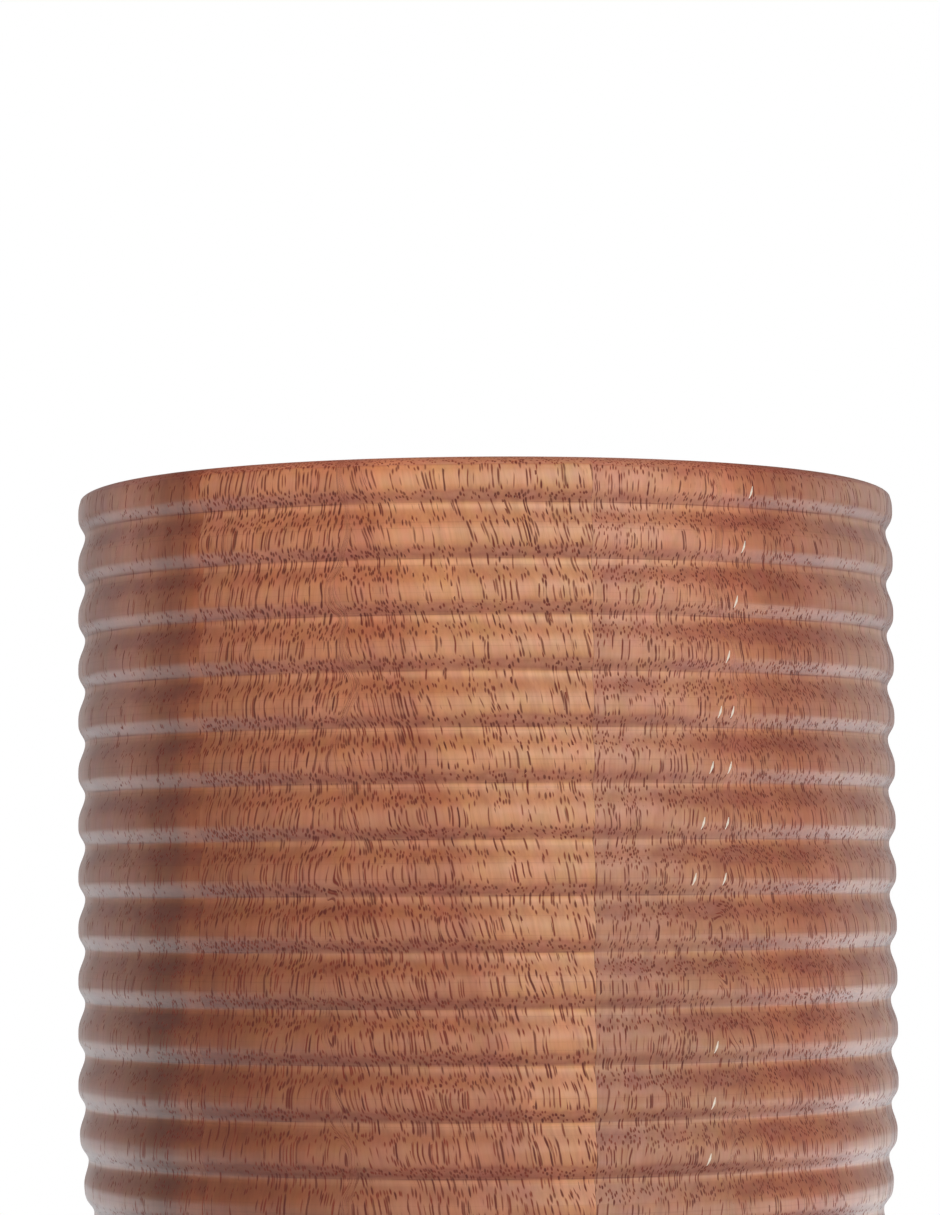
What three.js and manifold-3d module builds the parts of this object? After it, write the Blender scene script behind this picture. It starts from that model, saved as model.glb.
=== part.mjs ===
// A coopered wooden tumbler for a washstand: six ribbed staves glued edge to edge round a base disc.
// Millimetres, +Z up. The origin is on the table, on the tumbler's axis, and -Y is the front.

import * as THREE from 'three';
import { mergeVertices } from 'three/addons/utils/BufferGeometryUtils.js';
import Module from 'manifold-3d';

// Outside of the stave wall
const height = 100;
const crestRadius = 40;
const rimRise = 2.4;
const lipRise = 1.2;
const curveStartHeight = 42.6;
const curveRadius = 95;
const footRound = 1.2;

// Turned ribs: each groove lies nearer to the crest above it than to the crest below
const ribPitch = 5.05;
const ribDepth = 0.67;
const grooveShare = 0.43;
const grooveSharpness = 1.3;
const footBand = 1.8;

// Inside of the stave wall
const wall = 6;
const rimInnerRound = 1.3;
const bowlRadius = 45;

// Base disc, and the groove round the inside of the staves that holds its edge
const baseThickness = 6;
const baseRecess = 3;
const baseEdge = 0.5;
const grooveDepth = 3;
const grooveBackWall = 4.5;
const seatGap = 0.3;

// Stave joints: azimuths are counted from the front, positive to the right
const staveNames = ['front', 'front_right', 'back_right', 'back', 'back_left', 'front_left'];
const frontStaveStartAngle = -41.2;
const frontStaveAngle = 55.25;
const jointGap = 0.3;

// Smoothness of the facets
const turnSegments = 36;
const upperFlankSteps = 2;
const lowerFlankSteps = 3;
const rimSteps = 2;
const roundSteps = 4;
const bowlSteps = 8;

const wasm = await Module();
wasm.setup();

const boreRadius = crestRadius - wall;
const floorHeight = baseRecess + baseThickness;

// The smooth outside, before the ribs are cut, runs straight down from the first crest and then curves in.
// A point on it is given by its distance along the wall from that crest.
const firstCrestHeight = height - rimRise;
const straightLength = firstCrestHeight - curveStartHeight;

function wallPoint(distance, depth) {
  const turn = Math.max(0, distance - straightLength) / curveRadius;
  const drop = Math.min(distance, straightLength);
  const radius = crestRadius - curveRadius * (1 - Math.cos(turn));
  const z = firstCrestHeight - drop - curveRadius * Math.sin(turn);
  return new THREE.Vector2(radius - depth * Math.cos(turn), z + depth * Math.sin(turn));
}

function wallDistanceAt(z) {
  const turn = Math.asin(Math.max(0, curveStartHeight - z) / curveRadius);
  return firstCrestHeight - Math.max(z, curveStartHeight) + turn * curveRadius;
}

// How deep the turning tool went at a share of the way from one crest down to the next
function ribCut(share) {
  const beforeGroove = share / (2 * grooveShare);
  const afterGroove = 1 - (1 - share) / (2 * (1 - grooveShare));
  const phase = share < grooveShare ? beforeGroove : afterGroove;
  return ribDepth * ((1 - Math.cos(2 * Math.PI * phase)) / 2) ** grooveSharpness;
}

function ribShares() {
  const upper = Array.from({ length: upperFlankSteps }, (_, i) => grooveShare * i / upperFlankSteps);
  const lower = Array.from({ length: lowerFlankSteps },
    (_, i) => grooveShare + (1 - grooveShare) * i / lowerFlankSteps);
  return [...upper, ...lower];
}

function arcPoints(centreR, centreZ, width, rise, startAngle, endAngle, steps) {
  const arc = new THREE.EllipseCurve(centreR, centreZ, width, rise,
    startAngle, endAngle, endAngle < startAngle);
  return arc.getPoints(steps);
}

// Outside of a stave, from the foot band up to the first crest
function ribbedWall() {
  const lastDistance = wallDistanceAt(footRound);
  const ribCount = Math.floor((lastDistance - footBand) / ribPitch);
  const points = [wallPoint(0, 0)];
  for (let rib = 0; rib < ribCount; rib += 1) {
    for (const share of ribShares()) {
      if (rib + share > 0) {
        points.push(wallPoint((rib + share) * ribPitch, ribCut(share)));
      }
    }
  }
  points.push(wallPoint(ribCount * ribPitch, 0), wallPoint(lastDistance, 0));
  return points.reverse();
}

// Above the first crest the wall falls back as the top of any rib does, up to the outer edge of the lip.
// From there a flat dome leads over the rim to its highest ring, just outside the bore.
function rim() {
  const edgeRise = rimRise - lipRise;
  const points = [];
  for (let step = 1; step <= rimSteps; step += 1) {
    const rise = edgeRise * step / rimSteps;
    points.push(new THREE.Vector2(crestRadius - ribCut(1 - rise / ribPitch), firstCrestHeight + rise));
  }
  const edge = points.pop();
  const topRadius = boreRadius + rimInnerRound;
  const lip = arcPoints(topRadius, edge.y, edge.x - topRadius, lipRise, 0, Math.PI / 2, roundSteps);
  return [...points, ...lip];
}

// The disc's edge stops short of the outside wall by the wood that is left behind its groove
const discRadius = wallPoint(wallDistanceAt(baseRecess), ribDepth).x - grooveBackWall - seatGap;
const floorRadius = discRadius - grooveDepth;

// Inside of a stave, from the rim down to the floor: a straight bore that turns in like a bowl
function boreWall() {
  const inward = boreRadius - floorRadius;
  const endHeight = floorHeight + seatGap;
  const endAngle = Math.acos(1 - inward / bowlRadius);
  const bowlTop = endHeight + bowlRadius * Math.sin(endAngle);
  const easedEdge = arcPoints(boreRadius + rimInnerRound, height - rimInnerRound,
    rimInnerRound, rimInnerRound, Math.PI / 2, Math.PI, roundSteps);
  const bowl = arcPoints(boreRadius - bowlRadius, bowlTop, bowlRadius, bowlRadius,
    0, -endAngle, bowlSteps);
  return [...easedEdge.slice(1), ...bowl];
}

// Section through a stave: up the ribbed outside, over the rim, down the bore, round the base groove
function staveSection() {
  const foot = wallPoint(wallDistanceAt(footRound), 0);
  const grooveRadius = discRadius + seatGap;
  const footEdge = arcPoints(foot.x - footRound, footRound, footRound, footRound,
    -Math.PI / 2, 0, roundSteps);
  return [
    ...footEdge.slice(0, -1),
    ...ribbedWall(),
    ...rim(),
    ...boreWall(),
    new THREE.Vector2(grooveRadius, floorHeight + seatGap),
    new THREE.Vector2(grooveRadius, baseRecess - seatGap),
    new THREE.Vector2(floorRadius, baseRecess - seatGap),
    new THREE.Vector2(floorRadius, 0),
  ];
}

function turned(section) {
  return new THREE.LatheGeometry(section, turnSegments).rotateX(Math.PI / 2);
}

function toSolid(geometry) {
  const bare = geometry.clone();
  bare.deleteAttribute('normal');
  bare.deleteAttribute('uv');
  const merged = mergeVertices(bare);
  return new wasm.Manifold(new wasm.Mesh({
    numProp: 3,
    vertProperties: new Float32Array(merged.attributes.position.array),
    triVerts: new Uint32Array(merged.index.array),
  }));
}

function toGeometry(solid) {
  const mesh = solid.getMesh();
  const geometry = new THREE.BufferGeometry();
  geometry.setAttribute('position', new THREE.BufferAttribute(mesh.vertProperties, 3));
  geometry.setIndex(new THREE.BufferAttribute(mesh.triVerts, 1));
  geometry.computeVertexNormals();
  return geometry;
}

function fromAxis(azimuth, distance) {
  return new THREE.Vector2(distance * Math.sin(azimuth), -distance * Math.cos(azimuth));
}

// The space of one stave: a wedge between its two joint planes, drawn back by half the joint's gap.
// It stands past the rim and the foot by a wall thickness, so that only its two sides cut.
function staveWedge(startAzimuth, sweep) {
  const middle = startAzimuth + sweep / 2;
  const apex = fromAxis(middle, jointGap / 2 / Math.sin(sweep / 2));
  const reach = 2 * crestRadius / Math.cos(sweep / 2);
  const outline = new THREE.Shape([
    apex,
    apex.clone().add(fromAxis(startAzimuth, reach)),
    apex.clone().add(fromAxis(startAzimuth + sweep, reach)),
  ]);
  const wedge = new THREE.ExtrudeGeometry(outline, { depth: height + 2 * wall, bevelEnabled: false });
  return wedge.translate(0, 0, -wall);
}

// Woods: amber at the front, rosier to its right, darker to its left
const amber = new THREE.MeshStandardMaterial({ color: 0xb07650, roughness: 0.42, metalness: 0 });
const rose = new THREE.MeshStandardMaterial({ color: 0xa97059, roughness: 0.42, metalness: 0 });
const umber = new THREE.MeshStandardMaterial({ color: 0x8f5d48, roughness: 0.42, metalness: 0 });
const staveWoods = [amber, rose, umber, amber, rose, umber];

const tumbler = new THREE.Group();

function addPiece(name, geometry, material) {
  const piece = new THREE.Mesh(geometry, material);
  piece.name = name;
  tumbler.add(piece);
}

const wallRing = toSolid(turned(staveSection().concat([staveSection()[0]])));
const radians = Math.PI / 180;
const otherStaveAngle = (360 - frontStaveAngle) / (staveNames.length - 1);
let staveStart = frontStaveStartAngle;
staveNames.forEach((place, index) => {
  const sweep = index === 0 ? frontStaveAngle : otherStaveAngle;
  const wedge = toSolid(staveWedge(staveStart * radians, sweep * radians));
  addPiece(`stave_${place}`, toGeometry(wallRing.intersect(wedge)), staveWoods[index]);
  staveStart += sweep;
});

// Base disc with eased edges, its rim held in the groove of the staves
const discSection = [
  new THREE.Vector2(0, baseRecess),
  new THREE.Vector2(discRadius - baseEdge, baseRecess),
  new THREE.Vector2(discRadius, baseRecess + baseEdge),
  new THREE.Vector2(discRadius, floorHeight - baseEdge),
  new THREE.Vector2(discRadius - baseEdge, floorHeight),
  new THREE.Vector2(0, floorHeight),
];
addPiece('base_disc', turned(discSection), umber);

export default tumbler;
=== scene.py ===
# %% [markdown]
# A ribbed wooden tumbler for the bathroom.
# The tumbler is a cup of six staves, glued edge to edge round a base disc and then turned on a lathe. The
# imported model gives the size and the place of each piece. This lesson makes each stave again with a finer
# surface, gives every board its own grain, and sets up a pale studio with the camera low in front of the
# cup.

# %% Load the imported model
from math import acos, asin, atan2, cos, degrees, pi, radians, sin

import bpy
from mathutils import Matrix, Vector


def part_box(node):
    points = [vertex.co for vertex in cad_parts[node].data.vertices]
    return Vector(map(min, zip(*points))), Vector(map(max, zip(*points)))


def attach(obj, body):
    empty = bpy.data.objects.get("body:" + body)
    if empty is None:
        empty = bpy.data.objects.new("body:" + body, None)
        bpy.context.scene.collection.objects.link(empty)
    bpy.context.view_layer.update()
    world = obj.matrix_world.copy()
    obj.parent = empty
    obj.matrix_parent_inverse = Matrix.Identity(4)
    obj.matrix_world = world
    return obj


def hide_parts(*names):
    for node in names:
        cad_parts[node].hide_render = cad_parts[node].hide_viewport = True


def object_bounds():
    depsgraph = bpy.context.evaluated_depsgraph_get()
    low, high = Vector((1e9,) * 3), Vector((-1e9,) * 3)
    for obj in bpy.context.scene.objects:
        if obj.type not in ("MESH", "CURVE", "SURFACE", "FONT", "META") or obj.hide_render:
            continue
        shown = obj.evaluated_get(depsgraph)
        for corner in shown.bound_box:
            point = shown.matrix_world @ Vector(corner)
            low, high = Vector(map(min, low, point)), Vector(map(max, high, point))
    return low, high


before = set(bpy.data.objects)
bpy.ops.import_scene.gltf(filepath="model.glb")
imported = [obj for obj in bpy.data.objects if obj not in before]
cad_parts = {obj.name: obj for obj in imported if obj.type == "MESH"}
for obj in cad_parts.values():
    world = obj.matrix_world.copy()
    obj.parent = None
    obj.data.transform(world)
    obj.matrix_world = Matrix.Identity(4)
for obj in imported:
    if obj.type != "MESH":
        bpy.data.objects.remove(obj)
cad_low, cad_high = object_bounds()
print("pieces of the model:", sorted(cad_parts))
print("box in metres:", [round(value, 4) for value in (*cad_low, *cad_high)])

# %% [markdown]
# The overall sizes come from the model, so that the looks follow it. The crest radius is half the width of
# the box, the height is its top, and the base disc tells where the floor of the cup is. The turner's own
# choices, such as the distance between two ribs, are written here as plain values in metres.

# %% Sizes of the cup
MM = 0.001
height = cad_high[2]
crest_radius = (cad_high[0] - cad_low[0]) / 2

rim_rise = 2.4 * MM
lip_rise = 1.2 * MM
rim_inner_round = 1.3 * MM
foot_round = 1.2 * MM
curve_start_height = 42.6 * MM
curve_radius = 95 * MM
wall = 6 * MM
bowl_radius = 45 * MM
groove_depth = 3 * MM
seat_gap = 0.3 * MM

rib_pitch = 5.05 * MM
rib_depth = 0.67 * MM
groove_share = 0.43
upper_sharpness = 1.9
lower_sharpness = 1.3
foot_band = 1.8 * MM

disc_low, disc_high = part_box("base_disc")
disc_radius = (disc_high.x - disc_low.x) / 2
floor_height = disc_high.z
floor_radius = disc_radius - groove_depth
bore_radius = crest_radius - wall
print(f"height {height:.4f}, crest radius {crest_radius:.4f}, floor at {floor_height:.4f}")

# %% [markdown]
# The outside of the wall is the shape that the eye reads first. It runs straight down from the first crest
# and then curves in towards the foot. The ribs are a wave cut into that line. They could be drawn point by
# point, but one formula keeps them all alike. A groove lies a little nearer to the crest above it than to
# the crest below, so the underside of each rib is steeper than its top, and the wave is written that way.

# %% The ribbed line of the wall
first_crest_height = height - rim_rise
straight_length = first_crest_height - curve_start_height


def wall_point(distance, depth):
    """Radius and height of a point, by its distance down the wall from the first crest and its depth."""
    turn = max(0, distance - straight_length) / curve_radius
    drop = min(distance, straight_length)
    radius = crest_radius - curve_radius * (1 - cos(turn))
    z = first_crest_height - drop - curve_radius * sin(turn)
    return radius - depth * cos(turn), z + depth * sin(turn)


def wall_distance_at(z):
    turn = asin(max(0, curve_start_height - z) / curve_radius)
    return first_crest_height - max(z, curve_start_height) + turn * curve_radius


def rib_cut(share):
    """Depth of the cut at a share of the way from one crest down to the next."""
    if share < groove_share:
        phase, sharpness = share / (2 * groove_share), upper_sharpness
    else:
        phase, sharpness = (1 - share) / (2 * (1 - groove_share)), lower_sharpness
    return rib_depth * ((1 - cos(2 * pi * phase)) / 2) ** sharpness


points_per_rib = 26
wall_length = wall_distance_at(foot_round)
rib_count = int((wall_length - foot_band) / rib_pitch)


def ribbed_wall():
    """From the foot up to the first crest."""
    line = [wall_point(wall_length, 0)]
    for step in range(rib_count * points_per_rib, -1, -1):
        ribs = step / points_per_rib
        line.append(wall_point(ribs * rib_pitch, rib_cut(ribs % 1)))
    return line


print(f"{rib_count} ribs along {wall_length:.4f} m of wall")

# %% [markdown]
# A stave is the same section all the way along its width, so it can be made as on a lathe: draw the section
# once and spin it through the stave's angle. The section runs up the ribs, over the rim, down the bore,
# which turns in like a bowl, and round the groove that holds the base disc. Above the first crest the wall
# falls back as the top of any rib does, and then a flat dome leads over the lip.

# %% Section through a stave
rim_steps = 8
rounding_steps = 12
bowl_steps = 30


def arc(centre_r, centre_z, width, rise, start, end, steps):
    angles = [start + (end - start) * step / steps for step in range(steps + 1)]
    return [(centre_r + width * cos(angle), centre_z + rise * sin(angle)) for angle in angles]


def rim():
    """From just above the first crest to the highest ring of the lip."""
    edge_rise = rim_rise - lip_rise
    rises = [edge_rise * step / rim_steps for step in range(1, rim_steps + 1)]
    line = [(crest_radius - rib_cut(1 - rise / rib_pitch), first_crest_height + rise) for rise in rises]
    edge_radius, edge_height = line.pop()
    top_radius = bore_radius + rim_inner_round
    return line + arc(top_radius, edge_height, edge_radius - top_radius, lip_rise, 0, pi / 2, rounding_steps)


def stave_section():
    foot_radius, foot_height = wall_point(wall_length, 0)
    groove_top = floor_height + seat_gap
    groove_bottom = disc_low.z - seat_gap
    groove_radius = disc_radius + seat_gap
    bowl_angle = acos(1 - (bore_radius - floor_radius) / bowl_radius)
    bowl_height = groove_top + bowl_radius * sin(bowl_angle)
    foot = arc(foot_radius - foot_round, foot_height, foot_round, foot_round, -pi / 2, 0, rounding_steps)
    inner_rim = arc(bore_radius + rim_inner_round, height - rim_inner_round, rim_inner_round, rim_inner_round,
                    pi / 2, pi, rounding_steps)
    bowl = arc(bore_radius - bowl_radius, bowl_height, bowl_radius, bowl_radius, 0, -bowl_angle, bowl_steps)
    groove = [(groove_radius, groove_top), (groove_radius, groove_bottom),
              (floor_radius, groove_bottom), (floor_radius, 0)]
    return foot[:-1] + ribbed_wall() + rim() + inner_rim[1:] + bowl + groove


section = stave_section()
print(f"the section has {len(section)} points")

# %% [markdown]
# Each stave of the model stops short of its joints, by half of a small gap. The glued joint is closed on
# the real cup, so the angles are read from the model's own corners and the new staves meet in the middle of
# the gap.

# %% Where the joints are
joint_half_gap = 0.15 * MM
closed_joint = 0.01 * MM
stave_names = ["stave_front", "stave_front_right", "stave_back_right", "stave_back", "stave_back_left",
               "stave_front_left"]


def azimuth(point):
    """Angle round the cup, from the front towards the right."""
    return atan2(point[0], -point[1])


def stave_span(node):
    """First joint angle and sweep of a stave, measured at its crests."""
    low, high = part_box(node)
    middle = azimuth((low + high) / 2)
    corners = [vertex.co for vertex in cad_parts[node].data.vertices]
    crests = [point for point in corners if point.xy.length > crest_radius - rib_depth / 2]
    turns = [(azimuth(point) - middle + pi) % (2 * pi) - pi for point in crests]
    reach = (joint_half_gap - closed_joint) / crest_radius
    return middle + min(turns) - reach, max(turns) - min(turns) + 2 * reach


spans = {name: stave_span(name) for name in stave_names}
for name, (start, sweep) in spans.items():
    print(f"{name}: from {degrees(start):.2f} degrees, {degrees(sweep):.2f} wide")

# %% [markdown]
# To make a stave by hand, add a filled circle with as many corners as the section has, put its corners on
# the section in the plane of the first joint, and spin that face round the cup's axis. A stave could also
# be cut out of a whole ring with wedges, but the spin leaves clean rows of faces and the two end faces,
# which are the glued edges. Its normals are recalculated, and edges sharper than a rounding stay sharp.

# %% Model the staves
spin_step = radians(1)
smooth_angle = radians(35)
merge_distance = 0.0001 * MM


def deselect():
    bpy.ops.object.select_all(action="DESELECT")


def close_and_smooth(piece):
    bpy.ops.mesh.select_all(action="SELECT")
    bpy.ops.mesh.remove_doubles(threshold=merge_distance)
    bpy.ops.mesh.normals_make_consistent(inside=False)
    bpy.ops.object.mode_set(mode="OBJECT")
    bpy.ops.object.shade_smooth_by_angle(angle=smooth_angle)
    return piece


def model_stave(name, start, sweep):
    deselect()
    bpy.ops.mesh.primitive_circle_add(vertices=len(section), radius=crest_radius, fill_type="NGON")
    stave = bpy.context.object
    stave.name = stave.data.name = name + "_turned"
    for vertex, (radius, z) in zip(stave.data.vertices, section):
        vertex.co = (radius * sin(start), -radius * cos(start), z)
    bpy.ops.object.mode_set(mode="EDIT")
    bpy.ops.mesh.select_all(action="SELECT")
    bpy.ops.mesh.spin(steps=round(sweep / spin_step), angle=-sweep, center=(0, 0, 0), axis=(0, 0, 1))
    return close_and_smooth(stave)


staves = {}
for name, (start, sweep) in spans.items():
    staves[name] = model_stave(name, start, sweep)
    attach(staves[name], "root")
    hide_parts(name)
    print(name, len(staves[name].data.polygons), "faces")

# %% [markdown]
# The base disc is turned too, but it is simpler: a filled circle that is extruded to its thickness, with
# its edges eased by a small bevel. Its grain lies flat, across the cup.

# %% Model the base disc
disc_corners = 160
disc_edge = 0.5 * MM
disc_edge_steps = 3


def model_disc():
    deselect()
    thickness = disc_high.z - disc_low.z
    bpy.ops.mesh.primitive_circle_add(vertices=disc_corners, radius=disc_radius, fill_type="NGON",
                                      location=(0, 0, disc_low.z))
    disc = bpy.context.object
    disc.name = disc.data.name = "base_disc_turned"
    bpy.ops.object.transform_apply(location=True, rotation=True, scale=True)
    bpy.ops.object.mode_set(mode="EDIT")
    bpy.ops.mesh.select_all(action="SELECT")
    bpy.ops.mesh.extrude_region_move(TRANSFORM_OT_translate={"value": (0, 0, thickness)})
    close_and_smooth(disc)
    bevel = disc.modifiers.new("eased edge", "BEVEL")
    bevel.width = disc_edge
    bevel.segments = disc_edge_steps
    bpy.ops.object.modifier_apply(modifier=bevel.name)
    bpy.ops.object.shade_smooth_by_angle(angle=smooth_angle)
    return disc


disc = model_disc()
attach(disc, "root")
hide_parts("base_disc")
print("base disc", len(disc.data.polygons), "faces")

# %% [markdown]
# Wood is a solid stuff, so its pattern is worked out in space and the turned surface cuts through it. It
# could be painted on the surface, but then every slope would need its own drawing. Cut from the solid, the
# pores become long dashes by themselves on the crests and in the grooves, where the surface runs along the
# grain, and dots on the slopes between them. These first helpers only make the node trees shorter to write.

# %% Helpers for nodes


def linear(red, green, blue):
    """A colour as it is seen on a screen, from 0 to 255, as the shader wants it."""
    shares = [value / 255 for value in (red, green, blue)]
    return (*[s / 12.92 if s <= 0.04045 else ((s + 0.055) / 1.055) ** 2.4 for s in shares], 1)


def add(tree, kind, inputs=None, **settings):
    made = tree.nodes.new("ShaderNode" + kind)
    for setting, value in settings.items():
        setattr(made, setting, value)
    for socket, value in (inputs or {}).items():
        if isinstance(value, bpy.types.NodeSocket):
            tree.links.new(value, made.inputs[socket])
        else:
            made.inputs[socket].default_value = value
    return made


def calc(tree, operation, *values, clamp=False):
    made = add(tree, "Math", dict(enumerate(values)), operation=operation, use_clamp=clamp)
    return made.outputs[0]


def shift(tree, vector, amount):
    return add(tree, "VectorMath", {0: vector, 1: (amount,) * 3}, operation="ADD").outputs[0]


# %% [markdown]
# A pattern is mostly ramps, blends and noise. A ramp turns a place or a chance value into a share, a blend
# lays one colour over another by that share, and noise gives the chance. Nearly all values of a noise lie
# in the wide range below and most of them in the narrow one, so ramps over noise start and end there.

# %% Helpers for ramps, blends and noise
wide_noise = (0.25, 0.75)
narrow_noise = (0.3, 0.7)


def ramp_between(tree, value, low, high, out_low=0.0, out_high=1.0, interpolation="SMOOTHSTEP"):
    made = add(tree, "MapRange", {"Value": value, "From Min": low, "From Max": high,
                                  "To Min": out_low, "To Max": out_high},
               interpolation_type=interpolation)
    return made.outputs["Result"]


def ramp_linear(tree, value, low, high, out_low=0.0, out_high=1.0):
    return ramp_between(tree, value, low, high, out_low, out_high, "LINEAR")


def blend(tree, share, first, second, mode="MIX"):
    made = add(tree, "Mix", data_type="RGBA", blend_type=mode)
    sockets = {socket.identifier: socket for socket in made.inputs}
    for identifier, value in (("Factor_Float", share), ("A_Color", first), ("B_Color", second)):
        if isinstance(value, bpy.types.NodeSocket):
            tree.links.new(value, sockets[identifier])
        else:
            sockets[identifier].default_value = value
    return next(socket for socket in made.outputs if socket.identifier == "Result_Color")


def colour_ramp(tree, value, stops):
    made = add(tree, "ValToRGB", {"Fac": value})
    elements = made.color_ramp.elements
    while len(elements) < len(stops):
        elements.new(1)
    for element, (place, colour) in zip(elements, stops):
        element.position = place
        element.color = colour
    return made.outputs["Color"]


def grey_ramp(tree, value, stops):
    """A number that follows stops of a place and a level."""
    greys = [(place, (level, level, level, 1)) for place, level in stops]
    return add(tree, "SeparateColor", {"Color": colour_ramp(tree, value, greys)}).outputs["Red"]


def noise(tree, vector, scale, detail, output="Fac", roughness=0.5):
    """Soft chance values in space, with a scale for each axis."""
    stretched = add(tree, "Mapping", {"Vector": vector, "Scale": scale}).outputs[0]
    inputs = {"Vector": stretched, "Scale": 1.0, "Detail": detail, "Roughness": roughness}
    return add(tree, "TexNoise", inputs).outputs[output]


# %% [markdown]
# Every board is looked at in its own frame, in millimetres: across the board, into its depth, and along its
# fibres, which stand upright in a stave and lie flat in the base disc. Places along a stave are counted
# from a height that is about level with the eye.

# %% A board's own frame
zero_height = 63.0


def board_frame(tree, facing, lying, seed):
    """Places and normals in the board's frame; a stave is turned to the front, a lying board is tipped up."""
    coordinates = add(tree, "TexCoord")
    turn = (pi / 2, 0, 0) if lying else (0, 0, -facing)
    move = (0, 0, 0) if lying else (0, crest_radius / MM, -zero_height)
    placed = add(tree, "Mapping", {"Vector": coordinates.outputs["Object"], "Scale": (1 / MM,) * 3,
                                   "Rotation": turn, "Location": move}).outputs[0]
    place = add(tree, "SeparateXYZ", {"Vector": placed})
    outward = add(tree, "Mapping", {"Vector": coordinates.outputs["Normal"], "Rotation": turn},
                  vector_type="VECTOR").outputs[0]
    facet = add(tree, "SeparateXYZ", {"Vector": outward})
    return {"across": place.outputs["X"], "depth": place.outputs["Y"], "along": place.outputs["Z"],
            "normal": [facet.outputs[axis] for axis in "XYZ"], "shifted": shift(tree, placed, seed),
            "object": coordinates.outputs["Object"], "object_normal": coordinates.outputs["Normal"]}


# %% [markdown]
# The fibres don't run quite straight. They lean sideways, more at one side of a board than at the other,
# they tilt into the depth, and in some boards they wave. A vessel of the wood keeps the same leaned place
# from end to end, so its pattern only needs the two numbers across and into the board. The colours across a
# board lean by another amount, because they follow the growth of the tree and not its fibres.

# %% The run of the grain
wander_scale = (0.09, 0.09, 0.09)
wander_reach = 4.0
wander_of_colours = 0.15
sharp_change = 0.5
soft_change = 5.0
curl_scale = (0.11, 0.11, 0.16)
figure_half_width = 26.0


def figure_share(millimetres):
    """Where a place across a board lies on the ramps, from 0 to 1."""
    return (millimetres + figure_half_width) / (2 * figure_half_width)


def changing_lean(tree, place, leans, lean_break, change):
    side = ramp_between(tree, place, lean_break - change, lean_break + change)
    return calc(tree, "MULTIPLY_ADD", side, leans[1] - leans[0], leans[0])


def cut_across(tree, board, lean, tilt, curl):
    """How squarely the surface cuts the fibres, from 0 along them to 1 across them."""
    normal_x, normal_y, normal_z = board["normal"]
    cut = calc(tree, "SUBTRACT", normal_z, calc(tree, "MULTIPLY", lean, normal_x))
    cut = calc(tree, "MULTIPLY_ADD", normal_y, -tilt, cut)
    waves = noise(tree, board["shifted"], curl_scale, 2.0)
    cut = calc(tree, "ADD", cut, ramp_linear(tree, waves, *wide_noise, -curl, curl))
    return calc(tree, "ABSOLUTE", cut)


def grain_frame(tree, board, seed, leans, lean_break, figure_lean, tilt, curl):
    drift = noise(tree, board["shifted"], wander_scale, 2.0)
    wander = calc(tree, "MULTIPLY_ADD", drift, 2 * wander_reach, -wander_reach)
    wandered = calc(tree, "ADD", board["across"], wander)
    lean, soft_lean = (changing_lean(tree, wandered, leans, lean_break, change)
                       for change in (sharp_change, soft_change))
    across = calc(tree, "MULTIPLY_ADD", lean, board["along"], board["across"])
    depth = calc(tree, "MULTIPLY_ADD", board["along"], tilt, board["depth"])
    vector = add(tree, "CombineXYZ", {"X": across, "Y": depth, "Z": board["along"]}).outputs[0]
    figure = calc(tree, "MULTIPLY_ADD", board["along"], figure_lean, board["across"])
    figure = calc(tree, "MULTIPLY_ADD", wander, wander_of_colours, figure)
    share = ramp_linear(tree, figure, -figure_half_width, figure_half_width)
    return {"depth": depth, "vector": shift(tree, vector, seed), "across": figure, "figure": share,
            "wander": wander, "end_grain": cut_across(tree, board, soft_lean, tilt, curl)}


# %% [markdown]
# Vessels are the open pores of the wood, fine tubes about a fifth of a millimetre wide. Modelling thousands
# of them would cost far too many faces, so a cell pattern over the leaned place gives each tube its own
# spot, its width, its colour and its darkness. A share of the cells stays empty, more of them where the
# board is plain, and the tubes come in loose groups. Radii are given in spacings of the cells.

# %% Vessels
vessel_colours = (linear(122, 34, 8), linear(92, 28, 14))
wobble_scale = (0.16, 0.16, 0.16)
wobble_reach = (1.7, 1.4, 0.0)
group_scale = (0.7, 1.1, 0.05)
group_change = 0.25
least_radius = 0.34
radius_change = 0.14
end_grain_widening = 0.08
tube_edge_slope = 4.5
least_darkness = 0.7


def vessels(tree, grain, spacing, shares):
    """Where the tubes are, how dark each of them is, and its colour."""
    wobble = noise(tree, grain["vector"], wobble_scale, 2.0, "Color")
    place = add(tree, "VectorMath", {0: wobble, 1: wobble_reach, 2: grain["vector"]},
                operation="MULTIPLY_ADD").outputs[0]
    cells = add(tree, "TexVoronoi", {"Vector": place, "Scale": 1 / spacing}, voronoi_dimensions="2D")
    lot = add(tree, "SeparateColor", {"Color": cells.outputs["Color"]})
    groups = noise(tree, grain["vector"], group_scale, 1.0)
    filled = grey_ramp(tree, grain["figure"], [(figure_share(across), share) for across, share in shares])
    filled = calc(tree, "ADD", filled, ramp_linear(tree, groups, *narrow_noise, -group_change, group_change))
    here = calc(tree, "LESS_THAN", lot.outputs["Red"], filled)
    radius = calc(tree, "MULTIPLY_ADD", lot.outputs["Green"], radius_change, least_radius)
    radius = calc(tree, "MULTIPLY_ADD", grain["end_grain"], end_grain_widening, radius)
    inside = calc(tree, "SUBTRACT", radius, cells.outputs["Distance"])
    tube = calc(tree, "MULTIPLY", calc(tree, "MULTIPLY", inside, tube_edge_slope, clamp=True), here)
    darkness = calc(tree, "MULTIPLY_ADD", lot.outputs["Blue"], 1 - least_darkness, least_darkness)
    return tube, calc(tree, "MULTIPLY", tube, darkness), blend(tree, lot.outputs["Green"], *vessel_colours)


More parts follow.
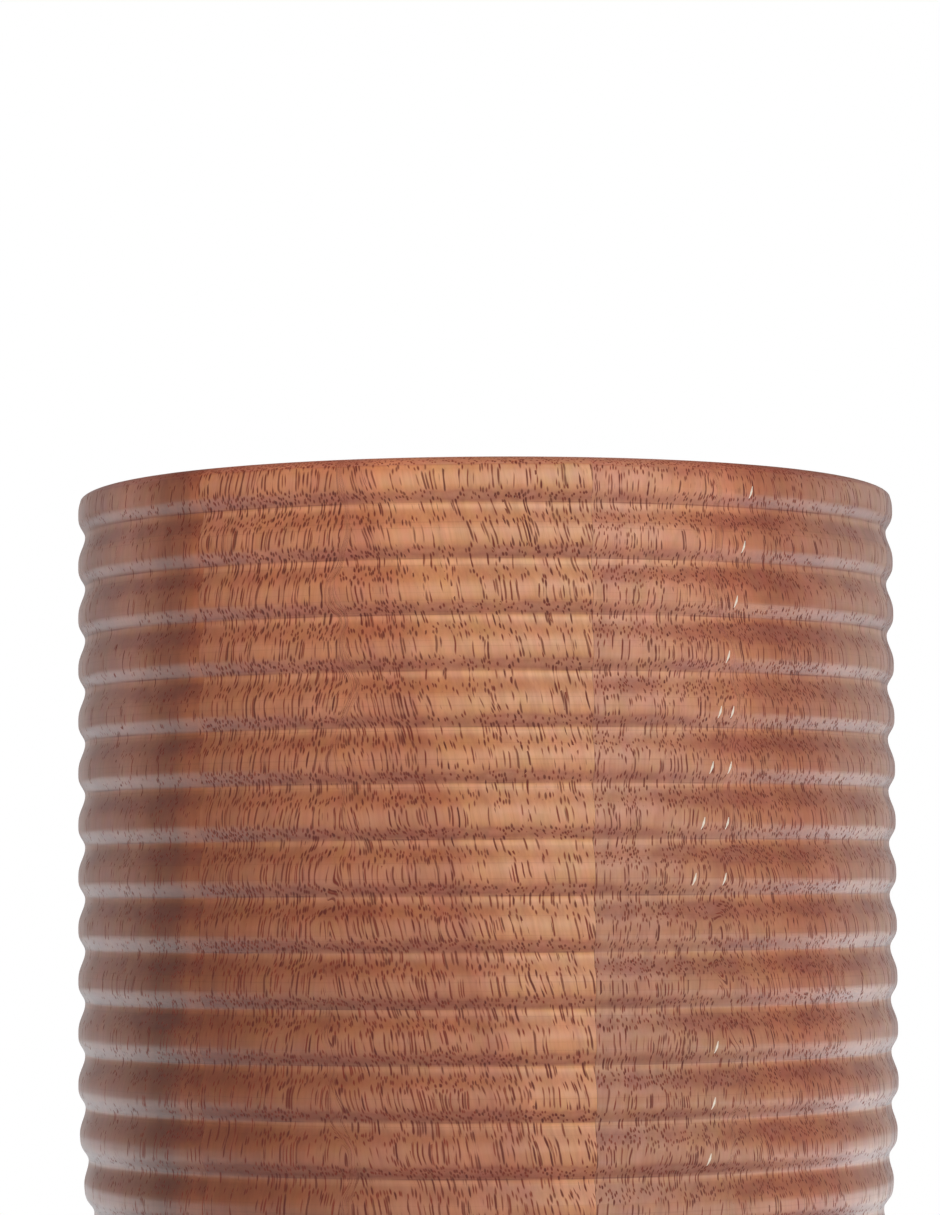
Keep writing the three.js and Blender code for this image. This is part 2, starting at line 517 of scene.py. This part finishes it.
# %% [markdown]
# Some painted light and shade follows the ribs and not the boards. A painted shadow darkens the upper corner
# of each groove, where the crest above shades it. It ends in a thin painted dark line there, stronger on some
# ribs than on others, and the narrow bottom of the groove under it gets painted light, as if lit from above.
# The height on the cup tells the place within a rib, as a share of the way from one crest down to the next.
# The inside of the cup, where the surface looks towards the axis, has no such marks.

# %% Painted light and shade of the ribs
groove_shadow_band = (0.25, 0.36, 0.385, 0.41)
shade_line_band = (0.375, 0.39, 0.4, 0.415)
groove_light_band = (0.395, 0.425, 0.47, 0.54)
# Multiplied into the wood: painted shadow for the groove corner, painted shade for its line, painted light
# for the groove bottom.
painted_groove_shadow = (0.8, 0.72, 0.72, 1)
painted_shade_line = (0.72, 0.62, 0.62, 1)
painted_groove_light = (1.14, 1.19, 1.16, 1)
weakest_groove_shadow = 0.4
shade_line_patches = (0.45, 0.65)
patches_per_metre = 120.0
patch_step = 9.0


def rib_place(tree, board):
    """How many ribs lie above a point, as a number whose fraction is the place between two crests."""
    z = calc(tree, "DIVIDE", add(tree, "SeparateXYZ", {"Vector": board["object"]}).outputs["Z"], MM)
    curve_start, bend = curve_start_height / MM, curve_radius / MM
    below = calc(tree, "MAXIMUM", calc(tree, "SUBTRACT", curve_start, z), 0.0)
    curved = calc(tree, "MULTIPLY", calc(tree, "ARCSINE", calc(tree, "DIVIDE", below, bend)), bend)
    straight = calc(tree, "SUBTRACT", first_crest_height / MM, calc(tree, "MAXIMUM", z, curve_start))
    return calc(tree, "DIVIDE", calc(tree, "ADD", straight, curved), rib_pitch / MM)


def band(tree, share, start, full, fading, end):
    """1 in a band between two crests, with soft edges."""
    return calc(tree, "MULTIPLY", ramp_between(tree, share, start, full),
                ramp_between(tree, share, fading, end, 1.0, 0.0))


def groove_light_and_shade(tree, board, ribs):
    """How strongly a point gets painted shadow in the groove corner, a painted dark line, and painted bottom
    light.
    """
    share = calc(tree, "FRACT", ribs)
    flat = add(tree, "VectorMath", {0: board["object"], 1: (1, 1, 0)}, operation="MULTIPLY").outputs[0]
    outward = add(tree, "VectorMath", {0: flat, 1: board["object_normal"]}, operation="DOT_PRODUCT")
    outside = calc(tree, "GREATER_THAN", outward.outputs["Value"], 0.0)
    around = add(tree, "VectorMath", {0: flat, "Scale": patches_per_metre}, operation="SCALE").outputs[0]
    rib_number = calc(tree, "MULTIPLY", calc(tree, "FLOOR", ribs), patch_step)
    patch = add(tree, "TexNoise", {"Vector": around, "W": rib_number, "Scale": 1.0, "Detail": 1.0},
                noise_dimensions="4D").outputs["Fac"]
    strengths = (ramp_linear(tree, patch, *narrow_noise, weakest_groove_shadow, 1.0),
                 ramp_between(tree, patch, *shade_line_patches), 1.0)
    return [calc(tree, "MULTIPLY", calc(tree, "MULTIPLY", band(tree, share, *edges), strength), outside)
            for edges, strength in zip((groove_shadow_band, shade_line_band, groove_light_band), strengths)]


# %% [markdown]
# A few pores of the right-hand board are filled with something pale. They show as short strokes just under
# the crests, in two rows that run slantwise down the board. Each row is a leaned line, and a stroke shows
# where the line passes the same place under every crest, so there is no list of single strokes.

# %% Pale strokes
stroke_share = 0.12
stroke_half_length = 0.11
stroke_half_widths = (0.12, 0.03)
stroke_lean = 0.2
stroke_colour = linear(226, 212, 194)
stroke_rows = [{"foot": -22.84, "lean": 0.186, "ribs": (-0.5, 7.9)},
               {"foot": -12.42, "lean": 0.068, "ribs": (3.9, 7.9)},
               {"foot": -12.42, "lean": 0.068, "ribs": (9.9, 12.9)}]


def pale_strokes(tree, board, ribs):
    share = calc(tree, "SUBTRACT", calc(tree, "FRACT", ribs), stroke_share)
    along = calc(tree, "MULTIPLY", share, -rib_pitch / MM)
    height_on_cup = calc(tree, "ADD", board["along"], zero_height)
    middle = calc(tree, "SUBTRACT", height_on_cup, along)
    within = calc(tree, "COMPARE", share, 0.0, stroke_half_length)
    width = ramp_linear(tree, calc(tree, "ABSOLUTE", share), 0.0, stroke_half_length, *stroke_half_widths)
    strokes = 0.0
    for row in stroke_rows:
        first, last = row["ribs"]
        row_place = calc(tree, "MULTIPLY_ADD", middle, row["lean"], row["foot"])
        stroke_place = calc(tree, "MULTIPLY_ADD", along, stroke_lean, row_place)
        on_stroke = calc(tree, "COMPARE", board["across"], stroke_place, width)
        in_row = calc(tree, "COMPARE", ribs, (first + last) / 2, (last - first) / 2)
        strokes = calc(tree, "MAXIMUM", strokes, calc(tree, "MULTIPLY", on_stroke, in_row))
    return calc(tree, "MULTIPLY", strokes, within)


# %% [markdown]
# The ground colour of a board changes across it and, on some boards, fades towards the foot. Growth rings
# lie under that: thin bowed layers, each a little darker where the wood grew late in the year. Both could
# be one noise, but a ramp across the board puts each tone where this cup has it.

# %% Ground colour and growth rings
lowest_fade = -13.0
ring_width = 1.7
ring_bow = 110.0
ring_wander = 0.35
late_wood = [(0.0, 0.0), (0.55, 0.25), (0.86, 1.0), (0.97, 0.0)]
late_wood_shade = (0.62, 0.5, 0.45, 1)
late_wood_strength = 0.22


def ground_colour(tree, board, grain, figure, fades):
    stops = [(figure_share(across), linear(*shade)) for across, shade in figure]
    colour = colour_ramp(tree, grain["figure"], stops)
    (left, left_fade), (right, right_fade) = fades
    fade = ramp_linear(tree, board["across"], left, right, left_fade, right_fade)
    lightness = calc(tree, "MULTIPLY_ADD", fade, calc(tree, "MAXIMUM", board["along"], lowest_fade), 1.0)
    return add(tree, "VectorMath", {0: colour, "Scale": lightness}, operation="SCALE").outputs[0]


def growth_rings(tree, grain, ring_centre, colour):
    off_centre = calc(tree, "SUBTRACT", grain["across"], ring_centre)
    bow = calc(tree, "MULTIPLY", off_centre, off_centre)
    ring = calc(tree, "MULTIPLY_ADD", bow, 1 / ring_bow, grain["depth"])
    ring = calc(tree, "MULTIPLY_ADD", grain["wander"], ring_wander, ring)
    ring = calc(tree, "FRACT", calc(tree, "DIVIDE", ring, ring_width))
    late = calc(tree, "MULTIPLY", grey_ramp(tree, ring, late_wood), late_wood_strength)
    return blend(tree, late, colour, late_wood_shade, "MULTIPLY")


# %% [markdown]
# Three finer things lie over the ground colour. Fibres are long thin streaks. Where the surface cuts across
# them, on the slopes of the ribs, their open ends drink more lacquer and turn dark, in patches. A slight
# mottle shifts the hue from place to place.

# %% Fibres, cut ends and mottle
fibre_scale = (3.2, 3.2, 0.12)
fibre_roughness = 0.6
fibre_darkening = (0.35, 0.75, 0.0, 0.4)
fibre_shade = (0.7, 0.6, 0.55, 1)
cloud_scale = (0.35, 0.35, 0.35)
cloud_levels = (0.8, 1.2)
cut_end_tints = [(0.0, (1.0, 1.0, 1.0, 1)), (0.12, (0.97, 0.93, 0.87, 1)), (0.24, (0.9, 0.82, 0.74, 1)),
                 (0.36, (0.83, 0.71, 0.62, 1)), (0.5, (0.67, 0.49, 0.45, 1)), (0.62, (0.71, 0.57, 0.57, 1)),
                 (1.0, (0.64, 0.48, 0.46, 1))]
mottle_scale = (0.7, 0.7, 0.4)
mottle_range = (0.25, 0.3, 0.5)
mottle_start = (0.88, 0.86, 0.77)


def cut_ends(tree, board, grain, colour):
    clouds = noise(tree, board["shifted"], cloud_scale, 2.0)
    strength = ramp_linear(tree, clouds, *narrow_noise, *cloud_levels)
    patchy = calc(tree, "MULTIPLY", grain["end_grain"], strength)
    return blend(tree, 1.0, colour, colour_ramp(tree, patchy, cut_end_tints), "MULTIPLY")


def mottled(tree, grain, colour):
    hues = noise(tree, grain["vector"], mottle_scale, 3.0, "Color")
    tint = add(tree, "VectorMath", {0: hues, 1: mottle_range, 2: mottle_start}, operation="MULTIPLY_ADD")
    return blend(tree, 1.0, colour, tint.outputs[0], "MULTIPLY")


# %% [markdown]
# Each board gets its finish from one recipe, which lays all of these over each other and adds the faint
# lines that the turning tool left round the cup. The satin lacquer follows from the roughness: smooth
# between the pores and dull in them. Pores, fibres and tool lines are also felt a little, so they go into a
# shallow bump.

# %% The wood recipe
tool_line_scale = 18.0
tool_line_darkening = (0.64, 0.72, 0.0, 0.15)
tool_line_shade = (0.4, 0.28, 0.22, 1)
tool_line_relief = 0.15
fibre_relief = 0.2
relief_depth = 0.04 * MM
relief_strength = 0.35
lacquer_roughness = 0.26
fibre_dullness = 0.08
vessel_dullness = 0.4


def wood_finish(name, facing, seed, figure, fades, run, spacing, shares, ring_centre,
                lying=False, strokes=False):
    material = bpy.data.materials.new(name)
    material.use_nodes = True
    tree = material.node_tree
    shader = tree.nodes["Principled BSDF"]
    board = board_frame(tree, facing, lying, seed)
    grain = grain_frame(tree, board, seed, **run)
    ribs = rib_place(tree, board)

    colour = ground_colour(tree, board, grain, figure, fades)
    colour = growth_rings(tree, grain, ring_centre, colour)
    fibre = noise(tree, grain["vector"], fibre_scale, 3.0, roughness=fibre_roughness)
    colour = blend(tree, ramp_between(tree, fibre, *fibre_darkening), colour, fibre_shade, "MULTIPLY")
    colour = cut_ends(tree, board, grain, colour)
    colour = mottled(tree, grain, colour)
    tube, dark_tube, tube_colour = vessels(tree, grain, spacing, shares)
    colour = blend(tree, dark_tube, colour, tube_colour)

    # Painted shadow and a painted dark line in the upper groove corners, and painted light in the groove
    # bottoms.
    for mark, shade in zip(groove_light_and_shade(tree, board, ribs), (painted_groove_shadow, painted_shade_line, painted_groove_light)):
        colour = blend(tree, mark, colour, shade, "MULTIPLY")
    lines = add(tree, "TexNoise", {"W": ribs, "Scale": tool_line_scale, "Detail": 2.0}, noise_dimensions="1D")
    lines = lines.outputs["Fac"]
    colour = blend(tree, ramp_between(tree, lines, *tool_line_darkening), colour, tool_line_shade, "MULTIPLY")
    if strokes:
        colour = blend(tree, pale_strokes(tree, board, ribs), colour, stroke_colour)

    relief = calc(tree, "MULTIPLY_ADD", lines, tool_line_relief, calc(tree, "MULTIPLY", tube, -1.0))
    relief = calc(tree, "MULTIPLY_ADD", fibre, fibre_relief, relief)
    bump = add(tree, "Bump", {"Height": relief, "Strength": relief_strength, "Distance": relief_depth})
    gloss = calc(tree, "MULTIPLY_ADD", fibre, fibre_dullness, lacquer_roughness)
    gloss = calc(tree, "MULTIPLY_ADD", tube, vessel_dullness, gloss)
    tree.links.new(colour, shader.inputs["Base Color"])
    tree.links.new(gloss, shader.inputs["Roughness"])
    tree.links.new(bump.outputs["Normal"], shader.inputs["Normal"])
    return material


# %% [markdown]
# The boards differ as boards do. The front one is amber, reddish and full of pores at its left, plain and
# golden at its right. The next is rosier and duller, with a redder band. The one on the left is dark at its
# joint. Each figure gives colours at places across a board, in millimetres from its middle.

# %% Colours of the boards
amber_figure = [(-20, (143, 80, 51)), (-15, (159, 97, 66)), (-7, (178, 115, 84)), (0, (186, 122, 89)),
                (6, (180, 116, 85)), (8, (197, 135, 97)), (12, (204, 145, 105)), (26, (204, 148, 111))]
rose_figure = [(-26, (190, 136, 109)), (-16, (186, 132, 105)), (-12, (189, 135, 106)), (-4, (181, 118, 88)),
               (0, (172, 107, 78)), (4, (174, 111, 85)), (10, (174, 124, 103)), (14, (174, 128, 108))]
umber_figure = [(-26, (144, 96, 78)), (4, (152, 107, 93)), (10, (149, 102, 85)), (13, (139, 89, 68)),
                (15, (123, 72, 50)), (17, (125, 71, 48)), (19, (151, 87, 56))]
print("stops of the figures:", len(amber_figure), len(rose_figure), len(umber_figure))

# %% [markdown]
# The rest of a board's character is in a few numbers. Its fades say how much lighter it gets per millimetre
# of height, at two places across it. The run of its grain has two leans and the place where they change,
# the lean of its colours, the tilt into the depth and the curl. The spacing is the distance between two
# vessel cells, the shares say how many of them are filled, at places across the board, and the ring centre
# is the middle of its growth rings. An even board doesn't fade.

# %% Finishes of the staves
board_step = 17.3
even = ((-18, 0.0), (18, 0.0))
finishes = {
    "stave_front": dict(
        figure=amber_figure, fades=((0, 0.0085), (9, 0.0015)),
        run=dict(leans=(-0.1, 0.2), lean_break=-4, figure_lean=0.235, tilt=0.0, curl=0.08),
        spacing=0.28, shares=((-22, 0.25), (-15, 0.8), (5, 0.85), (9, 0.48)), ring_centre=-9),
    "stave_front_right": dict(
        figure=rose_figure, fades=((-7, 0.008), (-2, 0.0)),
        run=dict(leans=(0.04, 0.22), lean_break=-8, figure_lean=0.1, tilt=0.12, curl=0.2),
        spacing=0.23, shares=((-18, 0.48), (-4, 0.62), (4, 0.55), (10, 0.25)), ring_centre=-2, strokes=True),
    "stave_back_right": dict(
        figure=umber_figure, fades=even,
        run=dict(leans=(-0.1, 0.05), lean_break=0, figure_lean=-0.05, tilt=0.05, curl=0.12),
        spacing=0.25, shares=((-18, 0.4), (18, 0.6)), ring_centre=4),
    "stave_back": dict(
        figure=amber_figure, fades=even,
        run=dict(leans=(0.08, -0.06), lean_break=2, figure_lean=0.05, tilt=-0.04, curl=0.08),
        spacing=0.28, shares=((-18, 0.6), (18, 0.4)), ring_centre=0),
    "stave_back_left": dict(
        figure=rose_figure, fades=even,
        run=dict(leans=(0.0, 0.12), lean_break=-3, figure_lean=0.06, tilt=0.08, curl=0.15),
        spacing=0.25, shares=((-18, 0.4), (18, 0.6)), ring_centre=6),
    "stave_front_left": dict(
        figure=umber_figure, fades=((4, 0.002), (10, 0.013)),
        run=dict(leans=(-0.15, -0.25), lean_break=8, figure_lean=-0.03, tilt=0.03, curl=0.1),
        spacing=0.23, shares=((6, 0.1), (18, 0.35)), ring_centre=10),
}


def dress(piece, node, finish):
    piece.data.materials.clear()
    piece.data.materials.append(finish)
    print(f"{node}: {len(finish.node_tree.nodes)} nodes in its finish")


for number, (name, recipe) in enumerate(finishes.items()):
    start, sweep = spans[name]
    dress(staves[name], name, wood_finish(name + "_wood", start + sweep / 2, board_step * number, **recipe))

# %% [markdown]
# The base disc is a dark board that lies flat. It has no ribs, so only its grain shows, on the floor of the
# cup and from below.

# %% Finish of the base disc
disc_seed = 5.0
disc_run = dict(leans=(0.0, 0.08), lean_break=0, figure_lean=0.03, tilt=0.0, curl=0.08)
disc_finish = wood_finish("base_disc_wood", 0, disc_seed, figure=umber_figure, fades=even, run=disc_run,
                          spacing=0.25, shares=((-18, 0.4), (18, 0.5)), ring_centre=0, lying=True)
dress(disc, "base_disc", disc_finish)

# %% [markdown]
# The studio is a pale table top under soft white light. Away from the cup the table fades into the white
# background, so that no edge shows. What the lacquer mirrors decides how the ribs look at both edges of the
# cup: their undersides catch the table beside the cup. The table glows only in the lacquer, as painted
# reflection light though it is no lamp: white in front, brighter on the left, brighter still on the right,
# and dimmer further out. The table lies a hair below the foot, because two faces in the same place would
# flicker.

# %% Floor
table_radius = 0.6
table_corners = 96
table_drop = 0.05 * MM
table_colour = (0.86, 0.86, 0.86, 1)
table_roughness = 0.6
table_fade = (0.05, 0.11)
mirror_tint = (0.93, 1.0, 1.03, 1)

glow_sides = (((0.954, 0.3, 0.0), 1.9), ((-0.954, 0.3, 0.0), 0.8))
glow_spread = (0.4, 1.0)
glow_behind = (0.45, 0.8, 1.0, 0.2)
far_level = 0.45
far_start = (0.2, 0.45)
far_behind = (0.45, 0.75, 1.0, 0.0)


def table_glow(tree, place, away):
    """How bright the table looks in the lacquer, by the direction and the distance from the cup."""
    direction = add(tree, "VectorMath", {0: place}, operation="NORMALIZE").outputs[0]
    back = add(tree, "SeparateXYZ", {"Vector": direction}).outputs["Y"]
    glow = 0.0
    for side, strength in glow_sides:
        towards = add(tree, "VectorMath", {0: direction, 1: side}, operation="DOT_PRODUCT").outputs["Value"]
        glow = calc(tree, "ADD", glow, ramp_between(tree, towards, *glow_spread, 0.0, strength))
    glow = calc(tree, "MULTIPLY_ADD", glow, ramp_between(tree, back, *glow_behind), 1.0)
    far = calc(tree, "MULTIPLY", ramp_between(tree, away, *far_start), ramp_between(tree, back, *far_behind))
    return calc(tree, "MULTIPLY_ADD", far, calc(tree, "SUBTRACT", far_level, glow), glow)


def table_finish():
    material = bpy.data.materials.new("pale table")
    material.use_nodes = True
    tree = material.node_tree
    shader = tree.nodes["Principled BSDF"]
    shader.inputs["Base Color"].default_value = table_colour
    shader.inputs["Roughness"].default_value = table_roughness
    place = add(tree, "TexCoord").outputs["Object"]
    away = add(tree, "VectorMath", {0: place}, operation="LENGTH").outputs["Value"]
    path = add(tree, "LightPath")
    seen_directly, in_lacquer = path.outputs["Is Camera Ray"], path.outputs["Is Glossy Ray"]
    # Painted reflection light: the table glows for the lacquer's reflections only, brighter than white at the
    # sides.
    mirrored = calc(tree, "MULTIPLY", table_glow(tree, place, away), in_lacquer)
    white = calc(tree, "MAXIMUM", mirrored, seen_directly)
    shown = calc(tree, "MULTIPLY", ramp_between(tree, away, *table_fade),
                 calc(tree, "MAXIMUM", seen_directly, in_lacquer))
    tint = blend(tree, in_lacquer, (1, 1, 1, 1), mirror_tint)
    background = add(tree, "Emission", {"Color": tint, "Strength": white})
    mixed = add(tree, "MixShader", {0: shown, 1: shader.outputs[0], 2: background.outputs[0]})
    tree.links.new(mixed.outputs[0], tree.nodes["Material Output"].inputs["Surface"])
    return material


def make_floor():
    deselect()
    bpy.ops.mesh.primitive_circle_add(vertices=table_corners, radius=table_radius, fill_type="NGON")
    floor = bpy.context.object
    floor.name = "floor"
    floor.location.z = -table_drop
    floor.data.materials.append(table_finish())
    return floor


floor = make_floor()
print(f"floor {2 * table_radius:.2f} m across")

# %% [markdown]
# The room above the table is paler at both sides of the cup and behind its edges than overhead, so the
# crests stay brown in the middle and turn pale at the very edges. The camera sees it white.

# %% World
overhead_level = 0.1
left_level = 0.42
right_level = 0.55
behind_level = 0.7
side_start, side_full = 0.3, 0.6
high_fade = (0.45, 0.8, 1.0, 0.0)
behind_start = (0.85, 0.95)
aside_start = (0.15, 0.3)


def make_world():
    world = bpy.data.worlds.new("studio")
    bpy.context.scene.world = world
    world.use_nodes = True
    tree = world.node_tree
    tree.nodes.clear()
    direction = add(tree, "SeparateXYZ", {"Vector": add(tree, "TexCoord").outputs["Generated"]})
    x, y, z = (direction.outputs[axis] for axis in "XYZ")
    right = ramp_between(tree, x, side_start, side_full, 0.0, right_level - overhead_level)
    left = ramp_between(tree, x, -side_full, -side_start, left_level - overhead_level, 0.0)
    aside = ramp_between(tree, calc(tree, "ABSOLUTE", x), *aside_start)
    behind = calc(tree, "MULTIPLY", ramp_between(tree, y, *behind_start, 0.0, behind_level), aside)
    level = calc(tree, "ADD", calc(tree, "ADD", left, right), behind)
    level = calc(tree, "MULTIPLY_ADD", level, ramp_between(tree, z, *high_fade), overhead_level)
    level = calc(tree, "MAXIMUM", level, add(tree, "LightPath").outputs["Is Camera Ray"])
    room = add(tree, "Background", {"Color": (1, 1, 1, 1), "Strength": level})
    output = add(tree, "OutputWorld")
    tree.links.new(room.outputs[0], output.inputs["Surface"])
    return world


print("world:", make_world().name)

# %% [markdown]
# Three large soft lamps light the cup. One hangs overhead and is kept out of the lacquer's mirror, because
# it would lay a pale band on the lip. One stands in front, and one to the right of the camera.

# %% Lamps


def area_lamp(name, place, width, tall, power):
    """A soft lamp that looks at the middle of the cup."""
    data = bpy.data.lights.new(name, "AREA")
    data.shape = "RECTANGLE"
    data.size = width
    data.size_y = tall
    data.energy = power
    lamp = bpy.data.objects.new(name, data)
    bpy.context.scene.collection.objects.link(lamp)
    lamp.location = place
    lamp.visible_camera = False
    lamp.rotation_euler = (Vector((0, 0, height / 2)) - Vector(place)).to_track_quat("-Z", "Y").to_euler()
    print(f"lamp {name}: {power} W")
    return lamp


overhead = area_lamp("overhead", (0.0, 0.0, 1.3), 1.6, 1.6, 18.0)
overhead.visible_glossy = False
area_lamp("front right", (0.52, -0.98, 0.51), 1.0, 0.8, 4.2)
area_lamp("front", (-0.15, -1.2, 0.35), 1.0, 0.8, 2.4)

# %% [markdown]
# The camera stands low, about level with the middle of the cup, and looks up a little, so the rim bows
# upwards and the cup's foot is out of the picture. Its place and lens were found from the outline of the
# ribs.

# %% Camera
camera_distance = 439.1 * MM
camera_below_first_crest = 36.45 * MM
camera_pitch = 0.0623
camera_yaw = -0.0035
camera_roll = -0.0057
photo_height_pixels = 1215
focal_pixels = 4463.4
sensor = 36.0

camera_data = bpy.data.cameras.new("camera")
camera_data.sensor_fit = "AUTO"
camera_data.sensor_width = sensor
camera_data.lens = focal_pixels / photo_height_pixels * sensor
camera = bpy.data.objects.new("camera", camera_data)
bpy.context.scene.collection.objects.link(camera)
eye = Vector((0, -camera_distance, first_crest_height - camera_below_first_crest))
camera.matrix_world = (Matrix.Translation(eye) @ Matrix.Rotation(-camera_yaw, 4, "Z")
                       @ Matrix.Rotation(pi / 2 + camera_pitch, 4, "X")
                       @ Matrix.Rotation(camera_roll, 4, "Z"))
bpy.context.scene.camera = camera
bpy.context.scene.view_settings.view_transform = "Standard"
print(f"lens of {camera_data.lens:.1f} mm, {camera_distance:.3f} m from the cup's axis")
